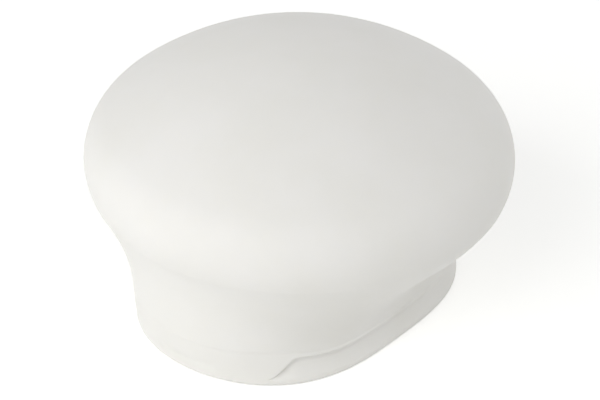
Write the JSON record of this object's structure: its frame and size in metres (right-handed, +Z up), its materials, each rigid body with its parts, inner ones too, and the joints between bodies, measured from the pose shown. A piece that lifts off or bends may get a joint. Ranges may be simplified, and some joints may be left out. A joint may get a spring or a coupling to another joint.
{
  "type": "camera flash diffuser dome",
  "caption": "Soft white silicone dome that diffuses a camera flash, with magnets in its oblong base and finger grooves along the long sides.",
  "frame": {"origin": "middle of the flat face that meets the flash's grip band", "axes": "+Z up to the crown, X along the base's long way with the bare emblem place at the -X end, Y across the two finger grooves"},
  "size_m": [0.12, 0.12, 0.0784],
  "materials": {
    "silicone_body": "matt, as moulded, slightly translucent",
    "silicone_cover": "matt, as moulded",
    "nickel_plated_magnet": "satin nickel plate",
    "zinc_plated_steel": "bright zinc plate"
  },
  "bodies": {
    "root": {"diffuser_body": "silicone_body", "keeper_plate_left": "zinc_plated_steel", "magnet_cover_left": "silicone_cover", "magnet_left_front": "nickel_plated_magnet", "magnet_left_rear": "nickel_plated_magnet", "keeper_plate_right": "zinc_plated_steel", "magnet_cover_right": "silicone_cover", "magnet_right_front": "nickel_plated_magnet", "magnet_right_rear": "nickel_plated_magnet"}
  },
  "joints": []
}
